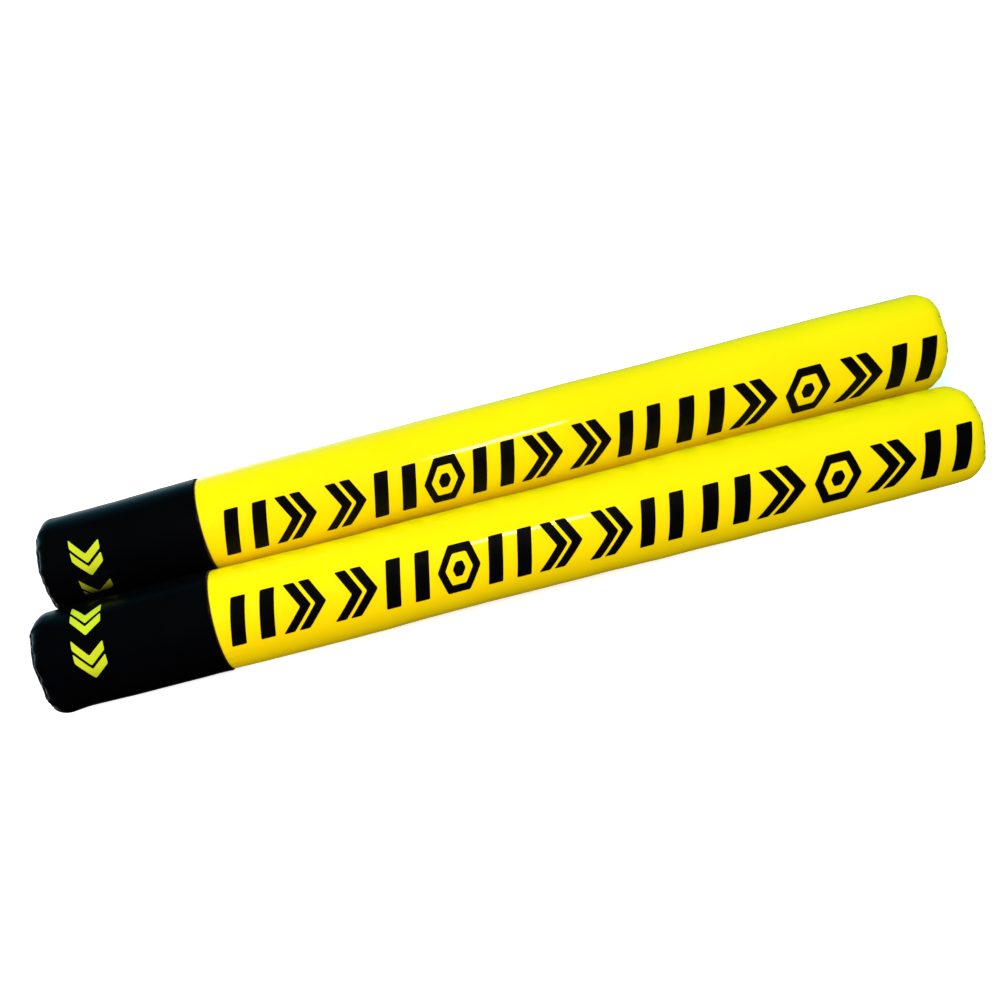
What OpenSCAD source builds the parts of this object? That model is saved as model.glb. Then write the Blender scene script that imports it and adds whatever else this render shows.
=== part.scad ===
// A pair of padded focus training sticks, lying side by side on a surface.
// Each stick runs along X: butt (handle end) at -X, tip (striking end) at +X, +Z up.
// The origin is below the middle of the pair, on the surface that it lies on.

/* [Stick] */
// Length of one stick, end to end
stick_length = 600; // [560:5:650]
// Outside diameter over the striking cover
strike_dia = 61; // [56:0.5:64]
// Outside diameter over the handle cover, which stands a little proud
handle_dia = 61.8; // [61.4:0.1:66]
// Thickness of the striking cover
strike_skin = 1.2; // [0.8:0.1:2]

/* [Core] */
// Outside diameter of the core tube
tube_dia = 25; // [20:1:32]
// Wall of the core tube
tube_wall = 2.5; // [1.5:0.5:4]
// Outside diameter of the firm inner foam
inner_foam_dia = 42; // [36:1:50]
// How far the foam pad reaches in from each end
end_pad = 20; // [17:1:30]
// How far a plug reaches into the tube
plug_depth = 18; // [10:1:30]
// Wall of a plug's spigot
plug_wall = 2; // [1:0.5:3]
// Thickness of a plug's flange, over the tube's end
plug_flange = 2; // [1:0.5:4]

/* [Ends] */
// Radius of the rounded shoulder
shoulder_r = 11; // [9:0.5:14]
// Radius of the shallow dome between the shoulders
crown_r = 80; // [70:5:120]
// Where the end disc is sewn on, as an angle up the shoulder
seam_angle = 58; // [40:1:64]
// Width of a seam's thread
thread_w = 1; // [0.6:0.1:1.4]
// Height of the thread that joins the two covers, under the handle cover's edge
waist_thread_h = 0.8; // [0.4:0.1:1]

/* [Handles] */
// Length of the front stick's handle, from its butt
front_handle = 114; // [105:1:118]
// Length of the rear stick's handle, from its butt
rear_handle = 111; // [105:1:118]

/* [Marks] */
// Thickness of the printed film
film = 0.15; // [0.1:0.01:0.2]
// Height of the row of marks, around the stick
mark_h = 30; // [24:1:34]
// Lean of the marks towards the tip, in degrees
mark_lean = 12; // [0:1:16]
// Distance from the stick's middle back to the first mark
marks_start = 176; // [160:1:178]
// Width of a mark in the long group
long_group_w = 26.5; // [24:0.5:28]
// Spacing of the marks in the long group
long_group_pitch = 31.4; // [30:0.1:31.6]
// Width of a mark in the short group
short_group_w = 30; // [26:0.5:31]
// Spacing of the marks in the short group
short_group_pitch = 35; // [33:0.1:35.2]
// Clear space between the two groups
group_gap = 12; // [8:1:13]
// Angle around the front stick of its marks, at its middle
front_mark_angle = 123; // [110:1:130]
// Angle around the rear stick of its marks, at its middle
rear_mark_angle = 136; // [120:1:140]
// How much further round the marks are at the tip than at the middle, per 100 mm
mark_drift = 2.8; // [0:0.1:3]
// Size of the handle mark along the stick
badge_w = 18.5; // [14:0.5:22]
// Size of one of the handle mark's two halves, around the stick
badge_h = 23; // [16:0.5:24]
// Distance from the butt to the middle of the handle mark
badge_from_butt = 40; // [34:1:50]
// Angle around the front stick of its handle mark
front_badge_angle = 95; // [85:1:105]
// Angle around the rear stick of its handle mark
rear_badge_angle = 140; // [130:1:145]

/* [Pair] */
// Gap between the two sticks at their butts
butt_gap = 1; // [1:0.1:5]
// Turn of the rear stick away from the front one, in degrees
rear_yaw = 0.7; // [0:0.1:3]
// How far the rear stick lies ahead of the front one
rear_ahead = 4.4; // [0:0.1:20]

/* [Hidden] */
$fn = 96;

yellow = [0.96, 0.93, 0.05];
black = [0.05, 0.05, 0.06];
pvc_white = [0.88, 0.88, 0.85];
plug_grey = [0.35, 0.36, 0.38];
firm_foam = [0.30, 0.30, 0.32];
soft_foam = [0.80, 0.80, 0.76];

// Both sticks share every part, and each list holds the front stick's value, then the rear's
front = 0;
rear = 1;
handle_length = [front_handle, rear_handle];
mark_angle = [front_mark_angle, rear_mark_angle];
badge_angle = [front_badge_angle, rear_badge_angle];

strike_r = strike_dia / 2;
handle_r = handle_dia / 2;
foam_r = strike_r - strike_skin;
handle_skin = handle_r - foam_r;
inner_foam_r = inner_foam_dia / 2;
tube_r = tube_dia / 2;
bore_r = tube_r - tube_wall;
butt_x = -stick_length / 2;
tip_x = stick_length / 2;
foam_x = tip_x - end_pad;
tube_x = foam_x - plug_flange;

// The middle of a shoulder's arc, as [distance from the axis, depth from the end]
function shoulder_centre(r) = [
    r - shoulder_r,
    crown_r - sqrt(pow(crown_r - shoulder_r, 2) - pow(r - shoulder_r, 2))
];
seam_half_angle = atan(thread_w / 2 / shoulder_r);
reach = 3 * shoulder_r;
margin = 1; // how far a cutting shape runs past what it cuts

// The pair's box is centred on the origin across the sticks
axis_gap = handle_r + handle_r + butt_gap + tip_x * sin(rear_yaw);
rear_side = shoulder_centre(strike_r);
rear_reach = (tip_x - rear_side[1]) * sin(rear_yaw) + rear_side[0] * cos(rear_yaw) + shoulder_r;
front_y = -(axis_gap + rear_reach - handle_r) / 2;
rear_y = front_y + axis_gap;

// ---- places ----

module in_place(stick) {
    if (stick == front)
        translate([-rear_ahead / 2, front_y, handle_r]) children();
    else
        translate([rear_ahead / 2, rear_y, handle_r]) rotate([0, 0, rear_yaw]) children();
}

// A revolved shape whose depth runs inwards from the butt, or from the tip
module from_butt() { translate([butt_x, 0, 0]) rotate([0, 90, 0]) rotate_extrude() children(); }
module from_tip() { translate([tip_x, 0, 0]) rotate([0, -90, 0]) rotate_extrude() children(); }

module along(x0, x1, r) { translate([x0, 0, 0]) rotate([0, 90, 0]) cylinder(r = r, h = x1 - x0); }

module sleeve(x0, x1, r_in, r_out) {
    difference() {
        along(x0, x1, r_out);
        along(x0 - margin, x1 + margin, r_in);
    }
}

// Faces the skin at an angle around the stick: 0 is +Y, 90 is up
module facing(x, angle) { translate([x, 0, 0]) rotate([angle - 90, 0, 0]) children(); }

// ---- end profiles, as [distance from the axis, depth from the end] ----

module end_outline(r, inset, depth) {
    c = shoulder_centre(r);
    wedge = (crown_r + reach) / (crown_r - c[1]);
    intersection() {
        union() {
            translate(c) circle(r = shoulder_r - inset);
            intersection() {
                translate([0, crown_r]) circle(r = crown_r - inset);
                polygon([[0, crown_r], [0, -reach], [c[0] * wedge, -reach]]);
            }
            translate([0, c[1]]) square([r - inset, depth - c[1] + margin]);
        }
        square([r, depth]);
    }
}

module shell_outline(r, skin, depth) {
    difference() {
        end_outline(r, 0, depth);
        end_outline(r, skin, depth + margin);
    }
}

// The side of an end that lies beyond an angle up its shoulder: 0 points out, 90 to the end
module beyond(r, angle) {
    c = shoulder_centre(r);
    polygon([c, c + reach * [cos(angle), -sin(angle)], [0, -reach], [0, c[1]]]);
}

module skin_outline(r, skin, depth) {
    difference() {
        shell_outline(r, skin, depth);
        beyond(r, seam_angle - seam_half_angle);
    }
}

module disc_outline(r, skin) {
    intersection() {
        shell_outline(r, skin, end_pad);
        beyond(r, seam_angle + seam_half_angle);
    }
}

module thread_outline(r, skin) {
    difference() {
        intersection() {
            shell_outline(r, skin, end_pad);
            beyond(r, seam_angle - seam_half_angle);
        }
        beyond(r, seam_angle + seam_half_angle);
    }
}

// ---- inside ----

module core_tube() { color(pvc_white) sleeve(-tube_x, tube_x, bore_r, tube_r); }

// Flange first, then the spigot, at the butt; the tip's is its mirror image
module plug() {
    color(plug_grey) difference() {
        union() {
            along(-foam_x, -tube_x, tube_r);
            along(-tube_x, -tube_x + plug_depth, bore_r);
        }
        along(-tube_x, -tube_x + plug_depth + margin, bore_r - plug_wall);
    }
}
module butt_plug() { plug(); }
module tip_plug() { mirror([1, 0, 0]) plug(); }

module inner_foam() { color(firm_foam) sleeve(-foam_x, foam_x, tube_r, inner_foam_r); }
module outer_foam() { color(soft_foam) sleeve(-foam_x, foam_x, inner_foam_r, foam_r); }
module butt_pad() { color(soft_foam) from_butt() end_outline(handle_r, handle_skin, end_pad); }
module tip_pad() { color(soft_foam) from_tip() end_outline(strike_r, strike_skin, end_pad); }

// ---- covers ----

function waist_x(stick) = butt_x + handle_length[stick];
function butt_shoulder_x() = butt_x + shoulder_centre(handle_r)[1];
function tip_shoulder_x() = tip_x - shoulder_centre(strike_r)[1];

// The long seam runs down the side away from the marks
module seam_slot(stick, x0, x1) {
    facing(x0, mark_angle[stick] + 180)
        translate([0, -thread_w / 2, foam_r - margin])
            cube([x1 - x0, thread_w, handle_skin + 2 * margin]);
}

module waist_groove(stick) {
    sleeve(waist_x(stick) - thread_w, waist_x(stick), foam_r, foam_r + waist_thread_h);
}

module strike_skin_tube(stick) {
    from_tip() skin_outline(strike_r, strike_skin, tip_x - waist_x(stick));
}
module grip_skin_tube(stick) {
    from_butt() skin_outline(handle_r, handle_skin, handle_length[stick]);
}

// Each long seam stops where the shoulder starts
module strike_slot(stick) { seam_slot(stick, waist_x(stick) - margin, tip_shoulder_x()); }
module grip_slot(stick) { seam_slot(stick, butt_shoulder_x(), waist_x(stick) + margin); }

module strike_cover(stick) {
    color(yellow) difference() {
        strike_skin_tube(stick);
        strike_slot(stick);
    }
}

module grip_cover(stick) {
    color(black) difference() {
        grip_skin_tube(stick);
        grip_slot(stick);
        waist_groove(stick);
    }
}

module tip_cap() { color(yellow) from_tip() disc_outline(strike_r, strike_skin); }
module butt_cap() { color(black) from_butt() disc_outline(handle_r, handle_skin); }

// ---- threads ----

module tip_seam() { color(black) from_tip() thread_outline(strike_r, strike_skin); }
module butt_seam() { color(black) from_butt() thread_outline(handle_r, handle_skin); }
module waist_seam(stick) { color(black) waist_groove(stick); }

module strike_seam(stick) {
    color(yellow) intersection() {
        strike_skin_tube(stick);
        strike_slot(stick);
    }
}

module grip_seam(stick) {
    color(black) difference() {
        intersection() {
            grip_skin_tube(stick);
            grip_slot(stick);
        }
        waist_groove(stick);
    }
}

// ---- printed marks: plain stripes, arrowheads and hexagons ----

function lean(p) = [p[0] + p[1] * tan(mark_lean), p[1]];
module leaning(points) { polygon([for (p = points) lean(p)]); }

module bar(x0, x1, h) { leaning([[x0, -h / 2], [x1, -h / 2], [x1, h / 2], [x0, h / 2]]); }

module two_bars(w, h) {
    bar_w = w / 3;
    bar(-w / 2, -w / 2 + bar_w, h);
    bar(w / 2 - bar_w, w / 2, h);
}

// An arrowhead from x0, with strokes s wide that run forward by a
module arrowhead(x0, s, a, h) {
    leaning([[x0, -h / 2], [x0 + s, -h / 2], [x0 + s + a, 0],
             [x0 + s, h / 2], [x0, h / 2], [x0 + a, 0]]);
}

module two_arrowheads(w, h) {
    stroke = w / 4;
    advance = 2 * w / 5;
    arrowhead(-w / 2, stroke, advance, h);
    arrowhead(w / 2 - stroke - advance, stroke, advance, h);
}

function hexagon(w, h) = [
    [-w / 2, 0], [-w / 4, -h / 2], [w / 4, -h / 2], [w / 2, 0], [w / 4, h / 2], [-w / 4, h / 2]
];

module ringed_hexagon(w, h) {
    ring_hole = 0.64;
    core = 0.3;
    difference() {
        leaning(hexagon(w, h));
        leaning(hexagon(w, h) * ring_hole);
    }
    leaning(hexagon(w, h) * core);
}

module mark(kind, w, h) {
    if (kind == "bars") two_bars(w, h);
    if (kind == "arrows") two_arrowheads(w, h);
    if (kind == "hexagon") ringed_hexagon(w, h);
}

long_group = ["bars", "arrows", "arrows", "bars", "hexagon", "bars", "arrows", "arrows", "bars"];
short_group = ["bars", "arrows", "hexagon", "arrows", "bars"];
long_x = -marks_start + long_group_w / 2;
long_end = -marks_start + long_group_w + (len(long_group) - 1) * long_group_pitch;
short_x = long_end + group_gap + short_group_w / 2;

// Each mark is the film's stretch above its outline
module mark_row(stick, kinds, x0, pitch, w) {
    for (i = [0 : len(kinds) - 1]) {
        x = x0 + i * pitch;
        facing(x, mark_angle[stick] + mark_drift * x / 100)
            linear_extrude(height = strike_r + margin) mark(kinds[i], w, mark_h);
    }
}

module strike_marks(stick) {
    color(black) intersection() {
        sleeve(waist_x(stick), tip_shoulder_x(), strike_r, strike_r + film);
        union() {
            mark_row(stick, long_group, long_x, long_group_pitch, long_group_w);
            mark_row(stick, short_group, short_x, short_group_pitch, short_group_w);
        }
    }
}

// Two pairs of arrowheads that point down around the handle
module grip_mark(stick) {
    badge_space = 3;
    half_step = (badge_h + badge_space) / 2 / handle_r * 180 / PI;
    color(yellow) intersection() {
        sleeve(butt_shoulder_x(), waist_x(stick), handle_r, handle_r + film);
        union() {
            for (side = [-1, 1])
                facing(butt_x + badge_from_butt, badge_angle[stick] + side * half_step)
                    linear_extrude(height = handle_r + margin)
                        rotate([0, 0, -90]) two_arrowheads(badge_h, badge_w);
        }
    }
}

in_place(front) core_tube();  // front_core_tube
in_place(front) butt_plug();  // front_butt_plug
in_place(front) tip_plug();  // front_tip_plug
in_place(front) inner_foam();  // front_inner_foam
in_place(front) outer_foam();  // front_outer_foam
in_place(front) butt_pad();  // front_butt_pad
in_place(front) tip_pad();  // front_tip_pad
in_place(front) strike_cover(front);  // front_strike_cover
in_place(front) grip_cover(front);  // front_grip_cover
in_place(front) tip_cap();  // front_tip_cap
in_place(front) butt_cap();  // front_butt_cap
in_place(front) tip_seam();  // front_tip_seam
in_place(front) butt_seam();  // front_butt_seam
in_place(front) waist_seam(front);  // front_waist_seam
in_place(front) strike_seam(front);  // front_strike_seam
in_place(front) grip_seam(front);  // front_grip_seam
in_place(front) strike_marks(front);  // front_strike_marks
in_place(front) grip_mark(front);  // front_grip_mark
in_place(rear) core_tube();  // rear_core_tube
in_place(rear) butt_plug();  // rear_butt_plug
in_place(rear) tip_plug();  // rear_tip_plug
in_place(rear) inner_foam();  // rear_inner_foam
in_place(rear) outer_foam();  // rear_outer_foam
in_place(rear) butt_pad();  // rear_butt_pad
in_place(rear) tip_pad();  // rear_tip_pad
in_place(rear) strike_cover(rear);  // rear_strike_cover
in_place(rear) grip_cover(rear);  // rear_grip_cover
in_place(rear) tip_cap();  // rear_tip_cap
in_place(rear) butt_cap();  // rear_butt_cap
in_place(rear) tip_seam();  // rear_tip_seam
in_place(rear) butt_seam();  // rear_butt_seam
in_place(rear) waist_seam(rear);  // rear_waist_seam
in_place(rear) strike_seam(rear);  // rear_strike_seam
in_place(rear) grip_seam(rear);  // rear_grip_seam
in_place(rear) strike_marks(rear);  // rear_strike_marks
in_place(rear) grip_mark(rear);  // rear_grip_mark
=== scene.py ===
"""The looks of a pair of padded focus training sticks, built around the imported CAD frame.

Every soft piece is made from one description of a stick's skin: how far along it a point is,
how far round, and how far off the smooth surface. Lengths are in metres.
"""

import math

import bmesh
import bpy
import numpy as np
from mathutils import Matrix, Vector


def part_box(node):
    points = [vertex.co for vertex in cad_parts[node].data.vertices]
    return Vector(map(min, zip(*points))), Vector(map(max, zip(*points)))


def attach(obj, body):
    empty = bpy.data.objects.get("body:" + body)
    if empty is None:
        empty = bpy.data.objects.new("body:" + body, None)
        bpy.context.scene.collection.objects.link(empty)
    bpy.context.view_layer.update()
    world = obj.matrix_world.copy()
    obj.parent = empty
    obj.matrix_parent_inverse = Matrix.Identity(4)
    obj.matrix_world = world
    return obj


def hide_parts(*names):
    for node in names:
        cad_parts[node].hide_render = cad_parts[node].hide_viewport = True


MM = 0.001
TURN = 2 * math.pi
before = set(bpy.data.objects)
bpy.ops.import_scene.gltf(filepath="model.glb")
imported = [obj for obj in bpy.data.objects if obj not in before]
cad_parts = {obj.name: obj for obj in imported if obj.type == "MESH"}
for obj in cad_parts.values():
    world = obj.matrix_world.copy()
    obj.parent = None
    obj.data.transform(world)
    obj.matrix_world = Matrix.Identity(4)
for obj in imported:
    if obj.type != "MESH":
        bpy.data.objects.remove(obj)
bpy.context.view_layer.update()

# ---- sizes that the frame's boxes don't give, as in the CAD model ----
SHOULDER = 11 * MM
CROWN = 80 * MM
SEAM_ANGLE = math.radians(58)
STRIKE_SKIN = 1.2 * MM
GRIP_SKIN = 1.6 * MM
END_PAD = 20 * MM
FILM = 0.16 * MM
MARK_HEIGHT = 30 * MM
MARK_LEAN = math.tan(math.radians(12))
MARKS_START = -176 * MM
LONG_WIDTH, LONG_PITCH = 26.5 * MM, 31.4 * MM
SHORT_WIDTH, SHORT_PITCH = 30 * MM, 35 * MM
GROUP_GAP = 12 * MM
MARK_DRIFT = math.radians(2.8) / 0.1
BADGE_WIDTH, BADGE_HEIGHT, BADGE_SPACE = 18.5 * MM, 23 * MM, 3 * MM
BADGE_FROM_BUTT = 40 * MM

# ---- how the sewn ends and the waist pull at the skin ----
STITCHES = 27  # round each end
STITCH_HALF, STITCH_SLANT = 1.75 * MM, 1.1 * MM
LADDER_PITCH, LADDER_HALF, LADDER_SLANT = 4.2 * MM, 0.8 * MM, 1.35 * MM
DISC_GATHERS, COVER_GATHERS = 4 * MM, 8 * MM  # how far gathers reach to either side of an end seam
BULGE_REACH = 14 * MM
STITCH_DIP, STITCH_PULL, STITCH_REACH = 0.15 * MM, 0.30 * MM, 1.6 * MM
WAIST_GATHERS = 5 * MM
HANDLE_LIP, STRIKE_LIP, LIP_REACH = 0.30 * MM, -0.20 * MM, 2.5 * MM
PUSH_FADE = 20 * MM  # a pushed-in end moves less and less over this much of the straight part

# ---- the camera, fitted to both sticks' outlines in the photograph ----
CAMERA_ANGLES = (-6.415, 66.436, -8.227)  # azimuth, elevation and roll in degrees
CAMERA_TARGET, CAMERA_DISTANCE = (-0.0038, -0.00257, 0.030), 0.7576
CAMERA_LENS = 42.99


# ---- camera ----


def make_camera():
    azimuth, elevation, roll = (math.radians(a) for a in CAMERA_ANGLES)
    back = Vector((
        math.sin(azimuth) * math.cos(elevation),
        -math.cos(azimuth) * math.cos(elevation),
        math.sin(elevation),
    ))
    level = (-back).cross(Vector((0, 0, 1))).normalized()
    above = level.cross(-back)
    right = level * math.cos(roll) + above * math.sin(roll)
    up = above * math.cos(roll) - level * math.sin(roll)
    data = bpy.data.cameras.new("camera")
    data.sensor_width = 36
    data.lens = CAMERA_LENS
    camera = bpy.data.objects.new("camera", data)
    turn = Matrix((right, up, back)).transposed().to_4x4()
    place = Vector(CAMERA_TARGET) + back * CAMERA_DISTANCE
    camera.matrix_world = Matrix.Translation(place) @ turn
    bpy.context.scene.collection.objects.link(camera)
    bpy.context.scene.camera = camera


make_camera()


# ---- a stick's skin ----


def points_of(node):
    return np.array([v.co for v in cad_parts[node].data.vertices])


def middle_of(node):
    low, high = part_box(node)
    return np.array((low + high) / 2)


class Waves:
    """A smooth random field in space: a sum of plane waves of about the given length."""

    def __init__(self, seed, length, size, count=14):
        rng = np.random.RandomState(seed)
        turn = rng.normal(size=(count, 3))
        turn /= np.linalg.norm(turn, axis=1)[:, None]
        self.k = turn * (TURN / (length * rng.uniform(0.7, 1.5, count)))[:, None]
        self.phase = rng.uniform(0, TURN, count)
        self.size = size * math.sqrt(2 / count)

    def at(self, p):
        return self.size * np.sin(p @ self.k.T + self.phase).sum(-1)


class Ripples:
    """Random waves round the stick, with whole numbers of them to a turn."""

    def __init__(self, seed, low, high, size, count):
        rng = np.random.RandomState(seed)
        self.n = rng.choice(np.arange(low, high + 1), min(count, high - low + 1), replace=False)
        self.phase = rng.uniform(0, TURN, len(self.n))
        self.size = size * math.sqrt(2 / len(self.n))

    def at(self, phi):
        return self.size * np.sin(phi[..., None] * self.n + self.phase).sum(-1)


class Facets:
    """The flats between the places where a gathered edge is pulled tight."""

    def __init__(self, seed, count, depth):
        rng = np.random.RandomState(seed)
        gaps = rng.uniform(0.6, 1.4, count)
        self.edges = np.r_[0, np.cumsum(gaps)] * TURN / gaps.sum()
        self.depth = depth * (gaps / gaps.mean()) ** 2
        self.start = rng.uniform(0, TURN)

    def at(self, phi):
        p = (phi - self.start) % TURN
        i = np.clip(np.searchsorted(self.edges, p, side="right") - 1, 0, len(self.depth) - 1)
        t = (p - self.edges[i]) / (self.edges[i + 1] - self.edges[i])
        return -self.depth[i] * 4 * t * (1 - t)


class Stick:
    """A stick's places and sizes, and the unevenness of its foam.

    Each swelling of the foam is an angle in degrees, a place along the stick, a spread round
    it and a spread along it, and a height. The butt can be pushed in by some distance.
    """

    def __init__(self, name, seed, mark_angle, badge_angle, swellings, pushed_in=0.0):
        self.name, self.body, self.seed = name, f"{name}_stick", seed
        butt, tip = middle_of(f"{name}_butt_plug"), middle_of(f"{name}_tip_plug")
        self.middle = (butt + tip) / 2
        self.along = (tip - butt) / np.linalg.norm(tip - butt)
        self.up = np.array((0.0, 0.0, 1.0))
        self.side = np.cross(self.up, self.along)
        self.mark_angle, self.badge_angle = math.radians(mark_angle), math.radians(badge_angle)
        self.seam_angle = self.mark_angle + math.pi
        self.half = self.reach("tip_cap")[1]
        self.waist = self.reach("grip_cover")[1]
        self.handle_r = self.radius("grip_cover")
        self.strike_r = self.radius("strike_cover")
        self.foam_r = self.radius("outer_foam")
        self.inner_foam_r = self.radius("inner_foam")
        self.tube_r = self.radius("core_tube")
        self.foam_half = self.reach("outer_foam")[1]
        self.uneven = [
            Waves(seed, 48 * MM, 0.09 * MM),
            Waves(seed + 1, 110 * MM, 0.16 * MM),
            Waves(seed + 2, 20 * MM, 0.045 * MM),
        ]
        self.swellings = swellings
        self.tip = End(self, 1, self.strike_r, STRIKE_SKIN)
        self.butt = End(self, -1, self.handle_r, GRIP_SKIN, pushed_in)

    def reach(self, part):
        x = (points_of(f"{self.name}_{part}") - self.middle) @ self.along
        return x.min(), x.max()

    def radius(self, part):
        p = points_of(f"{self.name}_{part}") - self.middle
        return np.linalg.norm(p - np.outer(p @ self.along, self.along), axis=1).max()

    def place(self, x, r, phi):
        """Points x along the stick and r from its axis, at an angle round it."""
        round_it = np.cos(phi)[..., None] * self.side + np.sin(phi)[..., None] * self.up
        return self.middle + x[..., None] * self.along + r[..., None] * round_it


class End:
    """Half of a stick's skin. s is the distance over the skin from the middle of the end disc."""

    def __init__(self, stick, sign, radius, skin, pushed_in=0.0):
        self.stick, self.sign, self.radius, self.skin = stick, sign, radius, skin
        self.pushed_in = pushed_in
        self.centre_r = radius - SHOULDER
        self.tilt = math.asin(self.centre_r / (CROWN - SHOULDER))
        self.centre_depth = CROWN - (CROWN - SHOULDER) * math.cos(self.tilt)
        self.crown_end = CROWN * self.tilt
        self.straight = self.crown_end + SHOULDER * (math.pi / 2 - self.tilt)
        self.seam = self.crown_end + SHOULDER * (math.pi / 2 - SEAM_ANGLE - self.tilt)
        self.seam_r = self.centre_r + SHOULDER * math.cos(SEAM_ANGLE)
        self.waist = self.s_at(stick.waist)
        seed = stick.seed + (10 if sign > 0 else 20)
        self.turned = np.random.RandomState(seed).uniform(0, TURN)
        crumple = 0.6 if sign > 0 else 1.0
        self.gathers = Ripples(seed + 1, 9, 24, 0.16 * crumple * MM, 9)
        self.flats = Facets(seed + 2, 14, 1.0 * crumple * MM)
        self.bulges = Ripples(seed + 5, 2, 6, 0.45 * crumple * MM, 4)
        self.waist_gathers = Ripples(seed + 3, 18, 48, 0.06 * MM, 9)
        self.creases = Waves(seed + 4, 12 * MM, 0.10 * crumple * MM)

    def s_at(self, x):
        """The distance over the skin of a place on the straight part."""
        return self.straight + (self.stick.half - self.sign * x) - self.centre_depth

    def smooth(self, s):
        """Depth from the end, radius, and the normal's two parts, on the smooth skin."""
        a = np.clip(s / CROWN, 0, self.tilt)
        b = np.clip((s - self.crown_end) / SHOULDER, 0, math.pi / 2 - self.tilt) + self.tilt
        on_crown = s <= self.crown_end
        angle = np.where(on_crown, a, b)
        depth = np.where(
            on_crown,
            CROWN - CROWN * np.cos(a),
            self.centre_depth - SHOULDER * np.cos(b) + np.maximum(s - self.straight, 0),
        )
        r = np.where(on_crown, CROWN * np.sin(a), self.centre_r + SHOULDER * np.sin(b))
        return depth, r, np.cos(angle), np.sin(angle)

    def lift(self, s, phi):
        """How far the real skin stands off the smooth one: uneven foam, gathers and seams."""
        depth, r, _, _ = self.smooth(s)
        p = self.stick.place(self.sign * (self.stick.half - depth), r, phi)
        off_seam = np.abs(s - self.seam)
        reach = np.where(s < self.seam, DISC_GATHERS, COVER_GATHERS)
        h = sum(waves.at(p) for waves in self.stick.uneven)
        h = h + (self.gathers.at(phi) + self.flats.at(phi)) * np.exp(-off_seam / reach)
        h = h + self.bulges.at(phi) * np.exp(-((off_seam / BULGE_REACH) ** 2))
        h = h + self.creases.at(p) * np.exp(-off_seam / BULGE_REACH)
        for angle, x, around, along, height in self.stick.swellings:
            turn = ((phi - math.radians(angle) + math.pi) % TURN - math.pi) * self.radius
            apart = self.sign * (self.stick.half - depth) - x
            h = h + height * np.exp(-((turn / around) ** 2) - (apart / along) ** 2)
        h = h * np.clip(s / self.seam, 0, 1) ** 2  # the disc's middle stays smooth
        pull = 0.5 + 0.5 * np.cos(STITCHES * (phi - self.turned))
        h = h - (STITCH_DIP + STITCH_PULL * pull) * np.exp(-off_seam / STITCH_REACH)
        off_waist = np.abs(s - self.waist)
        h = h + self.waist_gathers.at(phi) * np.exp(-off_waist / WAIST_GATHERS)
        lip = HANDLE_LIP if self.sign < 0 else STRIKE_LIP
        return h + lip * np.exp(-off_waist / LIP_REACH)

    def on(self, s, phi, h):
        """Points at height h off the smooth skin, never below the surface it lies on."""
        depth, r, out, outward = self.smooth(s)
        fade = np.clip((s - self.straight) / PUSH_FADE, 0, 1)
        depth = depth + self.pushed_in * (1 - fade * fade * (3 - 2 * fade))
        x = self.sign * (self.stick.half - depth + h * out)
        p = self.stick.place(x, r + h * outward, phi)
        p[..., 2] = np.maximum(p[..., 2], 0.05 * MM)
        return p


# ---- mesh tools ----


def add_mesh(name, points, faces, material):
    mesh = bpy.data.meshes.new(name)
    mesh.from_pydata([tuple(p) for p in points], [], faces)
    mesh.validate()
    mesh.polygons.foreach_set("use_smooth", [True] * len(mesh.polygons))
    mesh.materials.append(material)
    piece = bpy.data.objects.new(name, mesh)
    bpy.context.scene.collection.objects.link(piece)
    return piece


def face_outwards(piece):
    bm = bmesh.new()
    bm.from_mesh(piece.data)
    bmesh.ops.recalc_face_normals(bm, faces=bm.faces)
    bm.to_mesh(piece.data)
    bm.free()


def sharpen(piece, degrees):
    """Marks the edges that turn more than this, so that smooth shading stops at them."""
    bm = bmesh.new()
    bm.from_mesh(piece.data)
    limit = math.radians(degrees)
    for edge in bm.edges:
        edge.smooth = len(edge.link_faces) == 2 and edge.calc_face_angle() < limit
    bm.to_mesh(piece.data)
    bm.free()


EDGE = 1.0 * MM  # radius of a rolled edge
ROLL = np.linspace(0, math.pi / 2, 6)
INNER_DROP = 0.25  # the share of an edge's drop that a sheet's inner side takes


def roll_drop(distance):
    """How far a rolled edge has dropped, at this distance from where it ends."""
    e = np.clip(distance, 0, EDGE)
    return EDGE - np.sqrt(np.maximum(EDGE**2 - (EDGE - e) ** 2, 0))


def graded(start, end, step, fine_step, fine_start, fine_end):
    """Places from start to end, close together over the rolled edges and the fine stretches."""
    edge = EDGE * (1 - np.cos(ROLL))
    places = [start + e for e in edge] + [end - e for e in edge]
    low, high = start + EDGE, end - EDGE
    stops = [low, min(low + fine_start, high), max(high - fine_end, low), high]
    for a, b, pace in zip(stops, stops[1:], (fine_step, step, fine_step)):
        if b - a > 1e-9:
            places += list(np.linspace(a, b, max(2, math.ceil((b - a) / pace) + 1)))
    return np.unique(np.round(places, 7))


def grid_faces(rows, columns, start=0, close=False):
    across = columns if close else columns - 1
    return [
        (
            start + i * columns + j,
            start + i * columns + (j + 1) % columns,
            start + (i + 1) * columns + (j + 1) % columns,
            start + (i + 1) * columns + j,
        )
        for i in range(rows - 1)
        for j in range(across)
    ]


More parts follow.
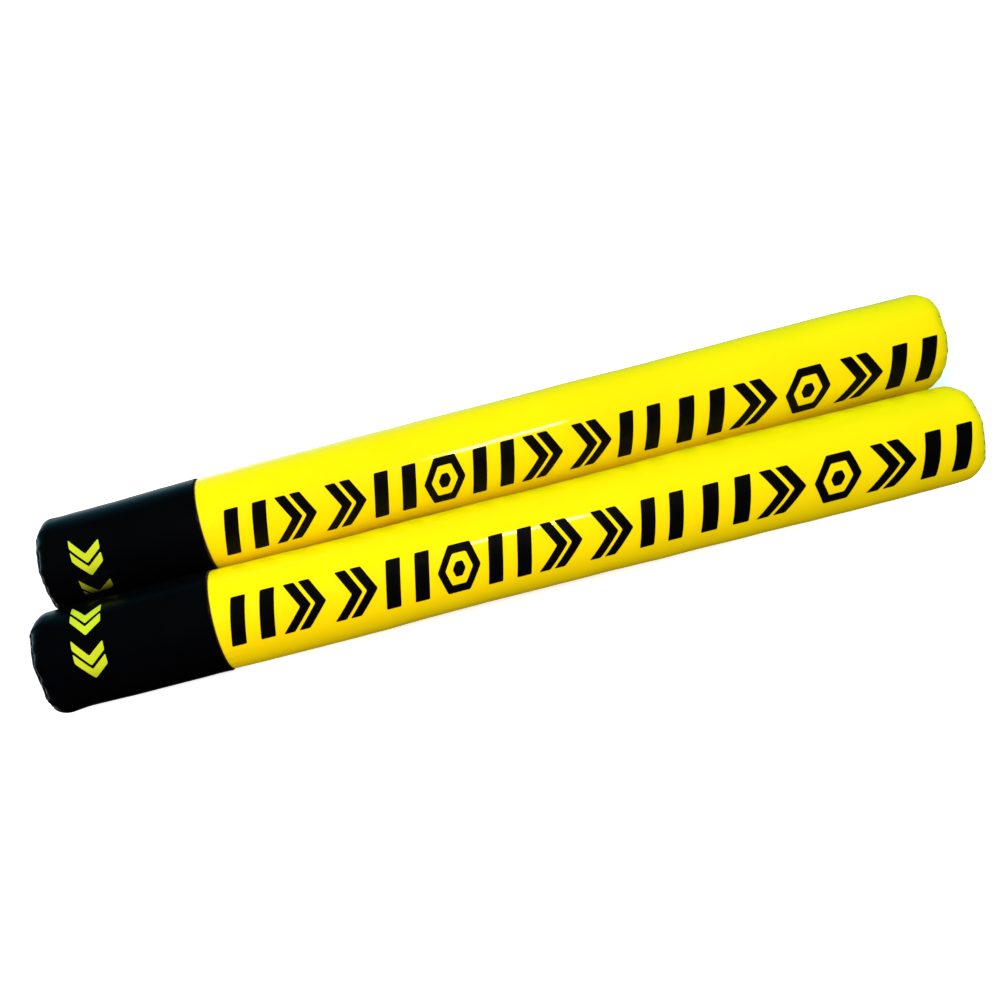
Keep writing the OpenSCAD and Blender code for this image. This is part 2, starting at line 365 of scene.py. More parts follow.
def sewn_sheet(name, end, s_list, phi_list, material):
    """A cover: one sheet rolled round the stick, with all four edges turned in."""
    s, phi = np.meshgrid(s_list, phi_list, indexing="ij")
    off_ends = np.minimum(s - s_list[0], s_list[-1] - s)
    _, r, _, _ = end.smooth(s)
    off_sides = np.minimum(phi - phi_list[0], phi_list[-1] - phi) * r
    lift = end.lift(s, phi)
    drop = np.maximum(roll_drop(off_ends), roll_drop(off_sides))
    top = lift - drop
    below = lift - end.skin - INNER_DROP * drop
    rows, columns = s.shape
    points = np.concatenate([
        end.on(s, phi, top).reshape(-1, 3),
        end.on(s, phi, below).reshape(-1, 3),
    ])
    count = rows * columns
    faces = grid_faces(rows, columns)
    faces += [tuple(reversed([count + i for i in f])) for f in grid_faces(rows, columns)]
    rim = list(range(columns))
    rim += [i * columns + columns - 1 for i in range(1, rows)]
    rim += [(rows - 1) * columns + j for j in range(columns - 2, -1, -1)]
    rim += [i * columns for i in range(rows - 2, 0, -1)]
    faces += [(a, a + count, b + count, b) for a, b in zip(rim, rim[1:] + rim[:1])]
    piece = add_mesh(name, points, faces, material)
    face_outwards(piece)
    return piece


def end_disc(name, end, s_list, columns, material):
    """The disc sewn into an end, with its edge turned in."""
    phi_list = np.linspace(0, TURN, columns, endpoint=False)
    s, phi = np.meshgrid(s_list[1:], phi_list, indexing="ij")
    lift = end.lift(s, phi)
    drop = roll_drop(s_list[-1] - s)
    rows = len(s_list) - 1
    top = end.on(s, phi, lift - drop).reshape(-1, 3)
    below = end.on(s, phi, lift - end.skin - INNER_DROP * drop).reshape(-1, 3)
    zero = np.zeros(1)
    hubs = [end.on(zero, zero, zero), end.on(zero, zero, zero - end.skin)]
    points = np.concatenate([top, below] + hubs)
    count = rows * columns
    faces = grid_faces(rows, columns, close=True)
    faces += [tuple(reversed(f)) for f in grid_faces(rows, columns, count, close=True)]
    edge, hub = (rows - 1) * columns, 2 * count
    for j in range(columns):
        k = (j + 1) % columns
        faces.append((hub, k, j))
        faces.append((hub + 1, count + j, count + k))
        faces.append((edge + j, edge + k, edge + k + count, edge + j + count))
    piece = add_mesh(name, points, faces, material)
    face_outwards(piece)
    return piece


# ---- threads ----


class Thread:
    """Gathers many short stitches of twisted thread into one mesh."""

    SIDES, RINGS = 10, 11

    def __init__(self, radius):
        self.radius, self.points, self.faces = radius, [], []

    def stitch(self, line, normal):
        """One stitch along a line of points, each with the skin's normal."""
        tangent = np.gradient(line, axis=0)
        tangent /= np.linalg.norm(tangent, axis=1)[:, None]
        across = np.cross(tangent, normal)
        across /= np.linalg.norm(across, axis=1)[:, None]
        over = np.cross(across, tangent)
        travelled = np.r_[0, np.cumsum(np.linalg.norm(np.diff(line, axis=0), axis=1))]
        theta = np.linspace(0, TURN, self.SIDES, endpoint=False)
        twist = travelled[:, None] * (TURN / (1.6 * MM))
        r = self.radius * (1 + 0.16 * np.cos(2 * (theta[None, :] - twist)))
        ring = line[:, None] + r[..., None] * (
            np.cos(theta)[None, :, None] * across[:, None]
            + np.sin(theta)[None, :, None] * over[:, None]
        )
        start = len(self.points)
        self.points += list(ring.reshape(-1, 3))
        self.faces += grid_faces(len(line), self.SIDES, start, close=True)
        last = start + (len(line) - 1) * self.SIDES
        self.faces.append(tuple(start + j for j in range(self.SIDES)))
        self.faces.append(tuple(last + j for j in reversed(range(self.SIDES))))

    def finish(self, name, material):
        piece = add_mesh(name, self.points, self.faces, material)
        face_outwards(piece)
        return piece


def arch(rings, height, sunk):
    """Heights along a stitch that comes up, arches over and goes down again."""
    t = np.linspace(-1, 1, rings)
    return t, (height + sunk) * np.sqrt(np.maximum(1 - t**2, 0)) - sunk


def skin_normals(end, s, phi):
    zero = np.zeros_like(s)
    return (end.on(s, phi, zero + MM) - end.on(s, phi, zero)) / MM


def end_stitches(name, end, material):
    """Slanting stitches over the seam between a cover and its end disc."""
    rng = np.random.RandomState(end.stick.seed + 40 + end.sign)
    thread = Thread(0.32 * MM)
    t, height = arch(Thread.RINGS, 0.22 * MM, 0.9 * MM)
    for i in range(STITCHES):
        middle = end.turned + TURN * i / STITCHES + rng.normal(0, 0.006)
        reach = STITCH_HALF * rng.uniform(0.9, 1.1)
        slant = STITCH_SLANT * rng.uniform(0.7, 1.2)
        s = end.seam + reach * t
        phi = middle + slant * t / end.seam_r
        ground = end.lift(np.full_like(s, end.seam), phi)
        line = end.on(s, phi, ground + height)
        thread.stitch(line, skin_normals(end, s, phi))
    return thread.finish(name, material)


def long_stitches(name, end, s_from, s_to, material):
    """A ladder of small stitches that closes a cover's long seam."""
    rng = np.random.RandomState(end.stick.seed + 60 + end.sign)
    thread = Thread(0.30 * MM)
    t, height = arch(Thread.RINGS, 0.22 * MM, 0.8 * MM)
    count = int((s_to - s_from) / LADDER_PITCH)
    for middle in np.linspace(s_from, s_to, count):
        s = middle + rng.normal(0, 0.15 * MM) + LADDER_HALF * t
        phi = end.stick.seam_angle + LADDER_SLANT * t / end.radius
        ground = end.lift(s, np.full_like(s, end.stick.seam_angle)) - 0.25 * MM
        line = end.on(s, phi, ground + height)
        thread.stitch(line, skin_normals(end, s, phi))
    return thread.finish(name, material)


# ---- printed marks ----


def rounded(points, radius=0.9 * MM, steps=4):
    """The outline with its corners rounded."""
    points = [np.array(p, float) for p in points]
    out = []
    for before, corner, after in zip(points[-1:] + points[:-1], points, points[1:] + points[:1]):
        a, b = before - corner, after - corner
        cut = min(radius, 0.4 * np.linalg.norm(a), 0.4 * np.linalg.norm(b))
        a, b = corner + a / np.linalg.norm(a) * cut, corner + b / np.linalg.norm(b) * cut
        for t in np.linspace(0, 1, steps):
            out.append((1 - t) ** 2 * a + 2 * t * (1 - t) * corner + t**2 * b)
    return out


def leaning(points):
    return [(x + y * MARK_LEAN, y) for x, y in points]


def bar(x0, x1, h):
    return [rounded(leaning([(x0, -h / 2), (x1, -h / 2), (x1, h / 2), (x0, h / 2)]))]


def arrowhead(x0, stroke, advance, h):
    x1, x2 = x0 + stroke, x0 + advance
    shape = [(x0, -h / 2), (x1, -h / 2), (x1 + advance, 0), (x1, h / 2), (x0, h / 2), (x2, 0)]
    return [rounded(leaning(shape))]


def hexagon(w, h, scale):
    shape = [(-0.5, 0), (-0.25, -0.5), (0.25, -0.5), (0.5, 0), (0.25, 0.5), (-0.25, 0.5)]
    return rounded(leaning([(x * w * scale, y * h * scale) for x, y in shape]))


def two_bars(w, h):
    return [bar(-w / 2, -w / 2 + w / 3, h), bar(w / 2 - w / 3, w / 2, h)]


def two_arrowheads(w, h):
    stroke, advance = w / 4, 2 * w / 5
    places = (-w / 2, w / 2 - stroke - advance)
    return [arrowhead(x, stroke, advance, h) for x in places]


def ringed_hexagon(w, h):
    return [[hexagon(w, h, 1), hexagon(w, h, 0.64)], [hexagon(w, h, 0.3)]]


MARKS = {"bars": two_bars, "arrows": two_arrowheads, "hexagon": ringed_hexagon}
LONG_GROUP = ["bars", "arrows", "arrows", "bars", "hexagon", "bars", "arrows", "arrows", "bars"]
SHORT_GROUP = ["bars", "arrows", "hexagon", "arrows", "bars"]


def filled(loops, step=1.5 * MM):
    """A flat mesh inside the first loop and outside the others, cut small enough to bend."""
    bm = bmesh.new()
    for loop in loops:
        corners = [bm.verts.new((x, y, 0)) for x, y in loop]
        for a, b in zip(corners, corners[1:] + corners[:1]):
            bm.edges.new((a, b))
    bmesh.ops.triangle_fill(bm, edges=bm.edges[:], use_beauty=True)
    low = np.min([v.co for v in bm.verts], axis=0)
    high = np.max([v.co for v in bm.verts], axis=0)
    for axis, way in ((0, (1, 0, 0)), (1, (0, 1, 0))):
        for place in np.arange(low[axis] + step, high[axis], step):
            geometry = bm.verts[:] + bm.edges[:] + bm.faces[:]
            at = [0, 0, 0]
            at[axis] = place
            bmesh.ops.bisect_plane(bm, geom=geometry, plane_co=at, plane_no=way, dist=1e-7)
    bm.verts.index_update()
    points = np.array([v.co[:2] for v in bm.verts])
    faces = [tuple(v.index for v in f.verts) for f in bm.faces]
    rim = [(e.verts[0].index, e.verts[1].index) for e in bm.edges if e.is_boundary]
    bm.free()
    return points, faces, rim


class Print:
    """Gathers marks printed on a skin into one mesh of thin film.

    A mark is drawn along the stick and upwards round it, and upwards is towards a smaller angle.
    """

    def __init__(self, end):
        self.end, self.points, self.faces = end, [], []

    def mark(self, islands, x, angle, quarter_turn=False):
        for loops in islands:
            flat, faces, rim = filled(loops)
            along, across = flat[:, 0], flat[:, 1]
            if quarter_turn:
                along, across = across, -along
            s = self.end.s_at(x + along)
            phi = angle - across / self.end.radius
            lift = self.end.lift(s, phi)
            start, count = len(self.points), len(flat)
            self.points += list(self.end.on(s, phi, lift + FILM))
            self.points += list(self.end.on(s, phi, lift - FILM))
            self.faces += [tuple(start + i for i in f) for f in faces]
            self.faces += [tuple(start + count + i for i in reversed(f)) for f in faces]
            self.faces += [
                (start + a, start + b, start + b + count, start + a + count) for a, b in rim
            ]

    def row(self, kinds, first, pitch, width):
        for i, kind in enumerate(kinds):
            x = first + width / 2 + i * pitch
            angle = self.end.stick.mark_angle + MARK_DRIFT * x
            self.mark(MARKS[kind](width, MARK_HEIGHT), x, angle)

    def finish(self, name, material):
        piece = add_mesh(name, self.points, self.faces, material)
        face_outwards(piece)
        sharpen(piece, 40)
        return piece


def strike_print(name, end, material):
    sheet = Print(end)
    sheet.row(LONG_GROUP, MARKS_START, LONG_PITCH, LONG_WIDTH)
    long_end = MARKS_START + (len(LONG_GROUP) - 1) * LONG_PITCH + LONG_WIDTH
    sheet.row(SHORT_GROUP, long_end + GROUP_GAP, SHORT_PITCH, SHORT_WIDTH)
    return sheet.finish(name, material)


def grip_print(name, end, material):
    sheet = Print(end)
    half_step = (BADGE_HEIGHT + BADGE_SPACE) / 2 / end.radius
    x = -end.stick.half + BADGE_FROM_BUTT
    for side in (-1, 1):
        shape = two_arrowheads(BADGE_HEIGHT, BADGE_WIDTH)
        sheet.mark(shape, x, end.stick.badge_angle + side * half_step, quarter_turn=True)
    return sheet.finish(name, material)


# ---- foam ----


def foam_sleeve(name, stick, x0, x1, r_in, r_out, material):
    """A foam tube with soft edges and a slightly uneven wall."""
    soft = 1.2 * MM
    turn = np.linspace(0, math.pi / 2, 5)
    corner = [(soft * (1 - math.sin(a)), soft * (1 - math.cos(a))) for a in turn]
    near = [(x0 + c, r_out - d) for c, d in reversed(corner)]
    body = [(x, r_out) for x in np.linspace(x0 + soft, x1 - soft, 60)[1:-1]]
    far = [(x1 - c, r_out - d) for c, d in corner]
    inside = [(x, r_in) for x in np.linspace(x1, x0, 30)]
    profile = np.array(near + body + far + inside)
    columns = 96
    phi_list = np.linspace(0, TURN, columns, endpoint=False)
    x, phi = np.meshgrid(profile[:, 0], phi_list, indexing="ij")
    r = np.repeat(profile[:, 1:2], columns, axis=1)
    outer = r > (r_in + r_out) / 2
    uneven = Waves(stick.seed + 70, 40 * MM, 0.08 * MM).at(stick.place(x, r, phi))
    points = stick.place(x, r - np.where(outer, 0.25 * MM + uneven, 0), phi).reshape(-1, 3)
    rows = len(profile)
    faces = grid_faces(rows, columns, close=True)
    last = (rows - 1) * columns
    faces += [(last + j, last + (j + 1) % columns, (j + 1) % columns, j) for j in range(columns)]
    piece = add_mesh(name, points, faces, material)
    face_outwards(piece)
    sharpen(piece, 50)
    return piece


def foam_pad(name, end, material):
    """The domed foam pad under an end disc."""
    stop = end.straight + END_PAD - end.centre_depth
    s_list = np.linspace(0, stop, 34)[1:]
    columns = 96
    phi_list = np.linspace(0, TURN, columns, endpoint=False)
    s, phi = np.meshgrid(s_list, phi_list, indexing="ij")
    clear = -end.skin - 0.3 * MM
    points = list(end.on(s, phi, end.lift(s, phi) + clear).reshape(-1, 3))
    zero = np.zeros(1)
    points += list(end.on(zero, zero, zero + clear))
    back = np.full(1, end.sign * (end.stick.half - END_PAD))
    points += list(end.stick.place(back, zero, zero))
    rows, hub = len(s_list), len(s_list) * columns
    faces = grid_faces(rows, columns, close=True)
    last = (rows - 1) * columns
    for j in range(columns):
        k = (j + 1) % columns
        faces += [(hub, k, j), (hub + 1, last + j, last + k)]
    piece = add_mesh(name, points, faces, material)
    face_outwards(piece)
    sharpen(piece, 50)
    return piece


# ---- materials ----


class Tree:
    """A node tree, built a node at a time."""

    def __init__(self, tree):
        self.tree = tree

    def add(self, kind, **settings):
        node = self.tree.nodes.new(kind)
        for key, value in settings.items():
            setattr(node, key, value)
        return node

    def link(self, source, target):
        self.tree.links.new(source, target)

    def ramp(self, source, stops):
        node = self.add("ShaderNodeValToRGB")
        elements = node.color_ramp.elements
        while len(elements) < len(stops):
            elements.new(0.5)
        for element, (at, colour) in zip(elements, stops):
            element.position = at
            element.color = (*colour, 1)
        self.link(source, node.inputs["Fac"])
        return node.outputs["Color"]

    def spread(self, source, low, high, at_low=0.3, at_high=0.7):
        """A value from low to high as the source goes from at_low to at_high."""
        node = self.add("ShaderNodeMapRange")
        for key, value in zip(range(1, 5), (at_low, at_high, low, high)):
            node.inputs[key].default_value = value
        self.link(source, node.inputs[0])
        return node.outputs[0]

    def mix(self, a, b, share):
        """From a to b as the share goes from 0 to 1. Each is a plain colour or a varying one."""
        node = self.add("ShaderNodeMix", data_type="RGBA")
        sockets = {s.identifier: s for s in node.inputs}
        for source, key in ((a, "A_Color"), (b, "B_Color"), (share, "Factor_Float")):
            if isinstance(source, tuple):
                sockets[key].default_value = (*source, 1)
            else:
                self.link(source, sockets[key])
        return {s.identifier: s for s in node.outputs}["Result_Color"]


class Nodes(Tree):
    """A material's nodes, all in the object's own coordinates."""

    def __init__(self, name):
        self.material = bpy.data.materials.new(name)
        self.material.use_nodes = True
        super().__init__(self.material.node_tree)
        self.shader = self.tree.nodes["Principled BSDF"]
        self.place = self.add("ShaderNodeTexCoord").outputs["Object"]

    def set(self, **values):
        for key, value in values.items():
            self.shader.inputs[key.replace("_", " ")].default_value = value

    def noise(self, size, detail=2.0, rough=0.5, stretch=None):
        """Noise whose features are about this size, in metres."""
        node = self.add("ShaderNodeTexNoise")
        node.inputs["Scale"].default_value = 1 / size
        node.inputs["Detail"].default_value = detail
        node.inputs["Roughness"].default_value = rough
        source = self.place
        if stretch:
            mapping = self.add("ShaderNodeMapping")
            mapping.inputs["Scale"].default_value = stretch
            self.link(source, mapping.inputs["Vector"])
            source = mapping.outputs["Vector"]
        self.link(source, node.inputs["Vector"])
        return node.outputs["Fac"]

    def cells(self, size, feature="F1"):
        node = self.add("ShaderNodeTexVoronoi", feature=feature)
        node.inputs["Scale"].default_value = 1 / size
        self.link(self.place, node.inputs["Vector"])
        return node.outputs["Distance"]

    def bump(self, source, depth, below=None):
        """A relief this deep, in metres, over another one."""
        node = self.add("ShaderNodeBump")
        node.inputs["Strength"].default_value = 1.0
        node.inputs["Distance"].default_value = depth
        self.link(source, node.inputs["Height"])
        if below is not None:
            self.link(below, node.inputs["Normal"])
        return node.outputs["Normal"]


def vinyl(name, colours, rough, coat, coat_rough, grain):
    """Coated synthetic leather: faint pebbled grain under a glossy coat."""
    n = Nodes(name)
    low, middle, high = colours
    patches = n.ramp(n.noise(70 * MM, 3), [(0.3, low), (0.5, middle), (0.7, high)])
    n.link(patches, n.shader.inputs["Base Color"])
    n.link(n.spread(n.noise(22 * MM, 4, 0.6), *rough), n.shader.inputs["Roughness"])
    relief = n.bump(n.cells(0.9 * MM), grain * MM)
    relief = n.bump(n.noise(0.35 * MM, 2), 0.4 * grain * MM, relief)
    relief = n.bump(n.noise(7 * MM, 3), 0.04 * MM, relief)
    n.link(relief, n.shader.inputs["Normal"])
    n.set(Coat_Weight=coat, Coat_Roughness=coat_rough, Coat_IOR=1.5, Specular_IOR_Level=0.0)
    return n.material


SHADED_BELOW, UNSHADED_ABOVE = 41 * MM, 56 * MM  # heights between which the painted shade on the film fades out


def film_material(name, colours, rough, painted_shade=None):
    """Printed transfer film: smooth, with faint flow marks and dust.

    It can be darkened to a given colour low on the side of the stick: painted shade, for the shade
    that falls low between the two sticks.
    """
    n = Nodes(name)
    colour = n.ramp(n.noise(9 * MM, 4), [(0.35, colours[0]), (0.7, colours[1])])
    # painted shade: below these heights the film's colour turns to the given dark colour
    if painted_shade:
        height = n.add("ShaderNodeSeparateXYZ")
        n.link(n.place, height.inputs[0])
        unshaded = n.spread(height.outputs["Z"], 0.0, 1.0, SHADED_BELOW, UNSHADED_ABOVE)
        colour = n.mix(painted_shade, colour, unshaded)
    n.link(colour, n.shader.inputs["Base Color"])
    n.link(n.spread(n.noise(4 * MM, 4, 0.7), *rough), n.shader.inputs["Roughness"])
    relief = n.bump(n.noise(1.2 * MM, 3), 0.008 * MM)
    n.link(relief, n.shader.inputs["Normal"])
    n.set(Specular_IOR_Level=0.12)
    return n.material


def thread_material(name, colours):
    """Twisted polyester thread."""
    n = Nodes(name)
    strands = n.noise(0.12 * MM, 2)
    n.link(n.ramp(strands, [(0.35, colours[0]), (0.65, colours[1])]), n.shader.inputs["Base Color"])
    n.link(n.spread(strands, 0.35, 0.6), n.shader.inputs["Roughness"])
    n.link(n.bump(strands, 0.05 * MM), n.shader.inputs["Normal"])
    n.set(Sheen_Weight=0.3, Sheen_Roughness=0.4)
    return n.material


def foam_material(name, colours, cell):
    """Closed-cell foam."""
    n = Nodes(name)
    cells = n.cells(cell, "DISTANCE_TO_EDGE")
    shade = n.ramp(n.noise(cell * 3, 3), [(0.3, colours[0]), (0.7, colours[1])])
    n.link(shade, n.shader.inputs["Base Color"])
    n.link(n.spread(cells, 0.95, 0.75, 0.0, 0.3), n.shader.inputs["Roughness"])
    n.link(n.bump(cells, 0.3 * MM), n.shader.inputs["Normal"])
    return n.material


def plastic_material(name, colours, rough, streak):
    """Extruded or moulded plastic, with fine marks along it."""
    n = Nodes(name)
    marks = n.noise(3 * MM, 4, 0.6, streak)
    n.link(n.ramp(marks, [(0.3, colours[0]), (0.7, colours[1])]), n.shader.inputs["Base Color"])
    n.link(n.spread(marks, *rough), n.shader.inputs["Roughness"])
    n.link(n.bump(marks, 0.02 * MM), n.shader.inputs["Normal"])
    return n.material


YELLOW = ((0.91, 0.745, 0.0005), (0.925, 0.76, 0.0005), (0.94, 0.775, 0.001))
BLACK = ((0.0003, 0.0004, 0.0005), (0.0005, 0.0006, 0.0008), (0.0008, 0.0009, 0.0012))
yellow_vinyl = vinyl("yellow_vinyl", YELLOW, (0.30, 0.42), 0.8, 0.09, 0.012)
black_vinyl = vinyl("black_vinyl", BLACK, (0.34, 0.46), 0.45, 0.28, 0.016)
black_film = film_material(
    "black_film", ((0.0008, 0.0006, 0.0006), (0.0014, 0.001, 0.001)), (0.5, 0.65)
)
# the handle marks get painted shade: their last colour darkens them low on the side of the stick
yellow_film = film_material(
    "yellow_film", ((0.46, 0.62, 0.006), (0.51, 0.67, 0.010)), (0.45, 0.6), (0.002, 0.002, 0.001)
)
yellow_thread = thread_material("yellow_thread", ((0.50, 0.44, 0.01), (0.72, 0.64, 0.02)))
black_thread = thread_material("black_thread", ((0.008, 0.009, 0.010), (0.03, 0.033, 0.036)))
soft_foam = foam_material("soft_foam", ((0.62, 0.62, 0.58), (0.74, 0.74, 0.70)), 1.1 * MM)
firm_foam = foam_material("firm_foam", ((0.05, 0.05, 0.055), (0.09, 0.09, 0.10)), 0.7 * MM)
pvc = plastic_material("pvc", ((0.74, 0.74, 0.70), (0.82, 0.82, 0.79)), (0.3, 0.45), (0.2, 2, 2))
plug_plastic = plastic_material(
    "plug_plastic", ((0.06, 0.06, 0.065), (0.09, 0.09, 0.095)), (0.4, 0.55), (1, 1, 1)
)


# ---- the pieces ----

COLUMNS = 224
SEAM_HALF = 0.12 * MM  # half the gap left between two turned edges


def declare(piece, stick, node):
    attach(piece, stick.body)
    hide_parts(f"{stick.name}_{node}")
    return piece


def cover(stick, end, node, label, material):
    name = f"{stick.name}_{label}"
    first = stick.seam_angle + SEAM_HALF / end.radius
    last = stick.seam_angle + TURN - SEAM_HALF / end.radius
    edge = EDGE / end.radius
    phi_list = np.concatenate([
        first + edge * (1 - np.cos(ROLL))[:-1],
        np.linspace(first + edge, last - edge, COLUMNS),
        (last - edge * (1 - np.cos(ROLL))[:-1])[::-1],
    ])
    start, stop = end.seam + SEAM_HALF, end.waist - SEAM_HALF
    s_list = graded(
        start, stop, step=3.4 * MM, fine_step=0.8 * MM, fine_start=16 * MM, fine_end=9 * MM
    )
    piece = sewn_sheet(name, end, s_list, phi_list, material)
    declare(piece, stick, node)


def disc(stick, end, node, label, material):
    stop = end.seam - SEAM_HALF
    s_list = graded(0.0, stop, step=1.6 * MM, fine_step=0.7 * MM, fine_start=0, fine_end=8 * MM)
    s_list = s_list[(s_list == 0) | (s_list > 1.2 * MM)]
    piece = end_disc(f"{stick.name}_{label}", end, s_list, COLUMNS, material)
    declare(piece, stick, node)


def build(stick):
    tip, butt, name = stick.tip, stick.butt, stick.name
    cover(stick, tip, "strike_cover", "yellow_cover", yellow_vinyl)
    cover(stick, butt, "grip_cover", "black_cover", black_vinyl)
    disc(stick, tip, "tip_cap", "tip_disc", yellow_vinyl)
    disc(stick, butt, "butt_cap", "butt_disc", black_vinyl)

    piece = end_stitches(f"{name}_tip_stitches", tip, black_thread)
    declare(piece, stick, "tip_seam")
    piece = end_stitches(f"{name}_butt_stitches", butt, black_thread)
    declare(piece, stick, "butt_seam")
    ends = (tip.straight - 6 * MM, tip.waist - 3 * MM)
    piece = long_stitches(f"{name}_yellow_seam_stitches", tip, *ends, yellow_thread)
    declare(piece, stick, "strike_seam")
    ends = (butt.straight - 6 * MM, butt.waist - 3 * MM)
    piece = long_stitches(f"{name}_black_seam_stitches", butt, *ends, black_thread)
    declare(piece, stick, "grip_seam")

    piece = strike_print(f"{name}_stripe_print", tip, black_film)
    declare(piece, stick, "strike_marks")
    piece = grip_print(f"{name}_handle_print", butt, yellow_film)
    declare(piece, stick, "grip_mark")

    far = stick.foam_half
    sizes = (-far, far, stick.inner_foam_r, stick.foam_r)
    piece = foam_sleeve(f"{name}_foam_sleeve", stick, *sizes, soft_foam)
    declare(piece, stick, "outer_foam")
    sizes = (-far, far, stick.tube_r, stick.inner_foam_r)
    piece = foam_sleeve(f"{name}_firm_foam_sleeve", stick, *sizes, firm_foam)
    declare(piece, stick, "inner_foam")
    for end, part in ((tip, "tip"), (butt, "butt")):
        piece = foam_pad(f"{name}_{part}_foam_pad", end, soft_foam)
        declare(piece, stick, f"{part}_pad")

    kept = {
        "core_tube": pvc,
        "butt_plug": plug_plastic,
        "tip_plug": plug_plastic,
        "waist_seam": black_thread,
    }
    for part, material in kept.items():
        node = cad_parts[f"{name}_{part}"]
        node.data.materials.clear()
        node.data.materials.append(material)


# The first swelling of the front stick and the first two of the rear one face the other stick.
# The sticks don't touch there: these only hide the gap between them from the camera.
front = Stick(
    "front",
    100,
    mark_angle=123,
    badge_angle=95,
    swellings=[
        (15, 160 * MM, 16 * MM, 120 * MM, 1.6 * MM),
        (30, 300 * MM, 12 * MM, 15 * MM, -0.8 * MM),
        (205, 300 * MM, 15 * MM, 12 * MM, -1.8 * MM),
        (205, 200 * MM, 20 * MM, 130 * MM, 0.9 * MM),
        (205, -130 * MM, 22 * MM, 60 * MM, 1.7 * MM),
        (200, -235 * MM, 50 * MM, 55 * MM, 1.2 * MM),
        (215, -300 * MM, 18 * MM, 16 * MM, 3.2 * MM),
        (145, -300 * MM, 14 * MM, 12 * MM, -1.6 * MM),
    ],
)
rear = Stick(
    "rear",
    200,
    mark_angle=136,
    badge_angle=140,
    swellings=[
        (205, 150 * MM, 16 * MM, 170 * MM, 2.6 * MM),
        (215, 282 * MM, 14 * MM, 15 * MM, 3.6 * MM),
        (195, 300 * MM, 18 * MM, 16 * MM, -2.6 * MM),
        (35, 270 * MM, 20 * MM, 25 * MM, -0.5 * MM),
        (60, 300 * MM, 14 * MM, 12 * MM, 1.2 * MM),
        (30, -265 * MM, 25 * MM, 60 * MM, -1.3 * MM),
        (195, -300 * MM, 18 * MM, 14 * MM, 3.2 * MM),
    ],
    pushed_in=4.2 * MM,
)
build(front)
build(rear)


# ---- floor, light and background ----

FLOOR_COLOUR = (0.87, 0.97, 0.86, 1)
FLOOR_GLOW, GLOW_START, GLOW_FULL = 0.6, 0.03, 0.07  # its strength, and where it grows
FLOOR_SQUEEZE = (0.15, 1, 0)  # the floor without glow is long and narrow, like the sticks

# Colours of the light, tuned so that the yellow and black match the photograph's.
COOL_FILL = (0.67, 1.15, 1.30)
WARM_FILL = (0.64, 0.52, 0.80)
LOW_FILL = (0.22, 0.19, 0.30)
BACK_GLOW = [
    (-0.85, (1.2, 1.2, 1.2)),
    (-0.60, (1.3, 1.4, 1.4)),
    (-0.45, (0.75, 1.25, 1.4)),
    (-0.33, (0.15, 0.60, 0.85)),
    (-0.12, (0.03, 0.25, 0.36)),
    (0.10, (0.01, 0.12, 0.18)),
    (0.50, (0.0, 0.0, 0.0)),
]


def make_floor():
    """A white floor that takes soft shadows. From a few centimetres off the middle of the pair it
    glows, painted light that washes those shadows out and melts the floor into the background.
    """
    bpy.ops.mesh.primitive_plane_add(size=12)
    floor = bpy.context.object
    floor.name = "floor"
    floor.visible_diffuse = False
    floor.visible_glossy = False
    n = Nodes("floor")
    n.set(Base_Color=FLOOR_COLOUR, Roughness=1.0, Specular_IOR_Level=0.0)
    squeezed = n.add("ShaderNodeVectorMath", operation="MULTIPLY")
    squeezed.inputs[1].default_value = FLOOR_SQUEEZE
    n.link(n.place, squeezed.inputs[0])
    away = n.add("ShaderNodeVectorMath", operation="LENGTH")
    n.link(squeezed.outputs["Vector"], away.inputs[0])
    # painted light: the floor glows more and more away from the sticks, so their shadows show only
    # close to them
    glow = n.spread(away.outputs["Value"], 0.0, FLOOR_GLOW, GLOW_START, GLOW_FULL)
    n.link(glow, n.shader.inputs["Emission Strength"])
    n.set(Emission_Color=(1, 1, 1, 1))
    floor.data.materials.append(n.material)


def area_light(name, place, target, size, power, colour=(1, 1, 1), diffuse=True, glossy=True):
    data = bpy.data.lights.new(name, "AREA")
    data.shape = "RECTANGLE"
    data.size, data.size_y = size
    data.energy = power
    data.color = colour
    lamp = bpy.data.objects.new(name, data)
    back = (Vector(place) - Vector(target)).normalized()
    across = Vector((1, 0, 0))
    across = (across - back * across.dot(back)).normalized()
    turn = Matrix((across, back.cross(across), back)).transposed().to_4x4()
    lamp.matrix_world = Matrix.Translation(place) @ turn
    lamp.visible_camera = False
    lamp.visible_diffuse = diffuse
    lamp.visible_glossy = glossy
    bpy.context.scene.collection.objects.link(lamp)


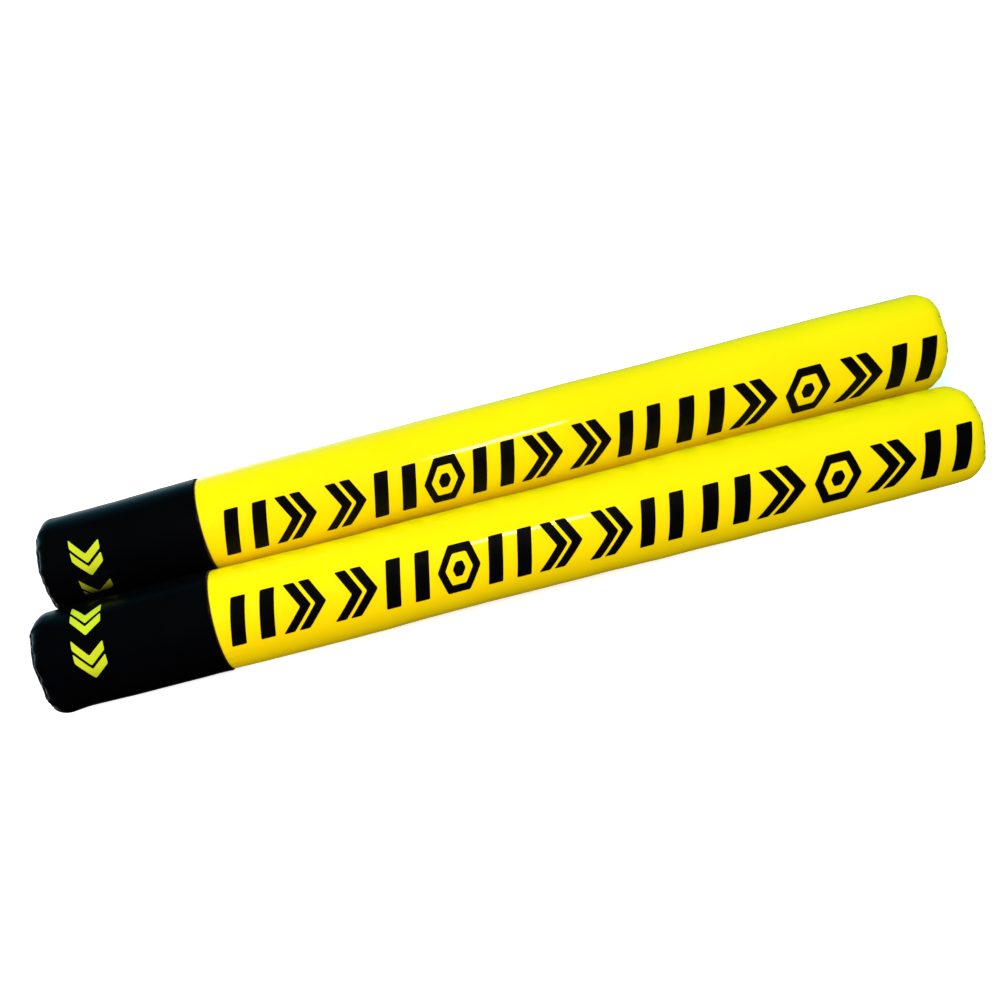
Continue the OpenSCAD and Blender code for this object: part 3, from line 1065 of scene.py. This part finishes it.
class World(Tree):
    """The surround, as light that depends only on the direction it comes from."""

    def __init__(self):
        world = bpy.data.worlds.new("studio")
        world.use_nodes = True
        bpy.context.scene.world = world
        super().__init__(world.node_tree)
        self.background = self.tree.nodes["Background"]
        self.direction = self.add("ShaderNodeTexCoord").outputs["Generated"]

    def toward(self, way, at_low, at_high, low=0.0, high=1.0):
        """Goes from low to high as the light's direction turns towards this way."""
        dot = self.add("ShaderNodeVectorMath", operation="DOT_PRODUCT")
        self.link(self.direction, dot.inputs[0])
        dot.inputs[1].default_value = way
        return self.spread(dot.outputs["Value"], low, high, at_low, at_high)

    def by_height(self, stops):
        """A colour that changes with height: stops go from -1, straight down, to 1, up."""
        shares = [((height + 1) / 2, colour) for height, colour in stops]
        return self.ramp(self.toward((0, 0, 1), -1, 1), shares)


def make_world():
    """Cool light behind and overhead, warmer light in front, and little from below.

    Gloss mirrors a dark room with a pale, bluish back. The background itself is white.
    """
    world = World()
    fill = world.mix(WARM_FILL, COOL_FILL, world.toward((0, 0.6, 0.8), -0.25, 0.65))
    fill = world.mix(fill, LOW_FILL, world.toward((0, -0.5, -0.87), 0.4, 0.8))
    back = world.by_height(BACK_GLOW)
    back = world.mix((0, 0, 0), back, world.toward((0, 1, 0), 0.0, 0.3))
    back = world.mix((0, 0, 0), back, world.toward((-1, 0, 0), -0.1, 0.2, 0.12, 1.0))
    path = world.add("ShaderNodeLightPath")
    seen = world.mix(fill, back, path.outputs["Is Glossy Ray"])
    seen = world.mix(seen, (1, 1, 1), path.outputs["Is Camera Ray"])
    world.link(seen, world.background.inputs["Color"])


make_floor()
make_world()
area_light(
    "softbox",
    place=(-0.35, -0.22, 0.95),
    target=(-0.15, 0, 0),
    size=(0.7, 0.5),
    power=8.0,
    colour=(1, 0.45, 0.48),
    glossy=False,
)
area_light(
    "strip",
    place=(0.035, 0.0, 0.51),
    target=(0.033, 0, 0.05),
    size=(0.122, 0.050),
    power=0.38,
    diffuse=False,
)
bpy.context.scene.view_settings.view_transform = "Standard"
